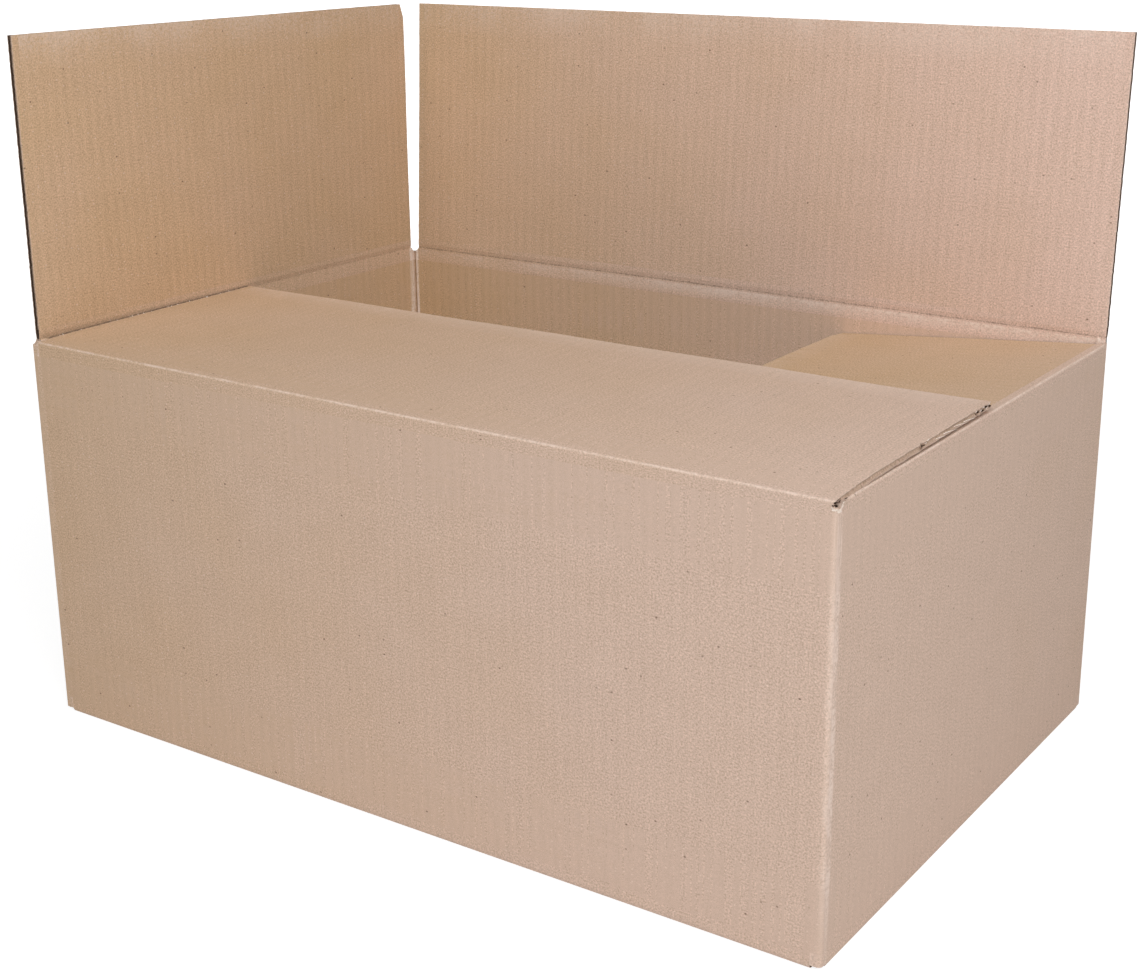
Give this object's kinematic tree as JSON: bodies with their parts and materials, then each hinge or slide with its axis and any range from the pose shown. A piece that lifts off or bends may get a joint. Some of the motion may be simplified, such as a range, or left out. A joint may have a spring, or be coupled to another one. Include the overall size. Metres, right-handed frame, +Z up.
{
  "type": "cardboard box",
  "caption": "Open corrugated cardboard box with folded-in front and right flaps and upright back and left flaps.",
  "frame": {"origin": "centre of the underside, on the surface that the box stands on; the seam between the two long bottom flaps runs through it, so the mount is 2 mm beside it, on the front one", "axes": "+X along the long side towards the end whose top flap is folded in, +Y towards the back wall with the upright flap, +Z up"},
  "size_m": [0.45, 0.3086, 0.3523],
  "materials": {
    "kraft_board": "matt brown kraft paper"
  },
  "bodies": {
    "carton": {"carton_body": "kraft_board"},
    "front_flap": {"front_top_flap": "kraft_board"},
    "back_flap": {"back_top_flap": "kraft_board"},
    "left_flap": {"left_top_flap": "kraft_board"}
  },
  "joints": [
    {"name": "front_flap_crease", "type": "hinge", "parent": "carton", "child": "front_flap", "pos_m": [0, -0.15, 0.2028], "axis": [1, 0, 0], "range_deg": [0, 265]},
    {"name": "back_flap_crease", "type": "hinge", "parent": "carton", "child": "back_flap", "pos_m": [0, 0.15, 0.2028], "axis": [1, 0, 0], "range_deg": [-172, 92.8]},
    {"name": "left_flap_crease", "type": "hinge", "parent": "carton", "child": "left_flap", "pos_m": [-0.225, 0, 0.2028], "axis": [0, 1, 0], "range_deg": [-175, 35]}
  ]
}
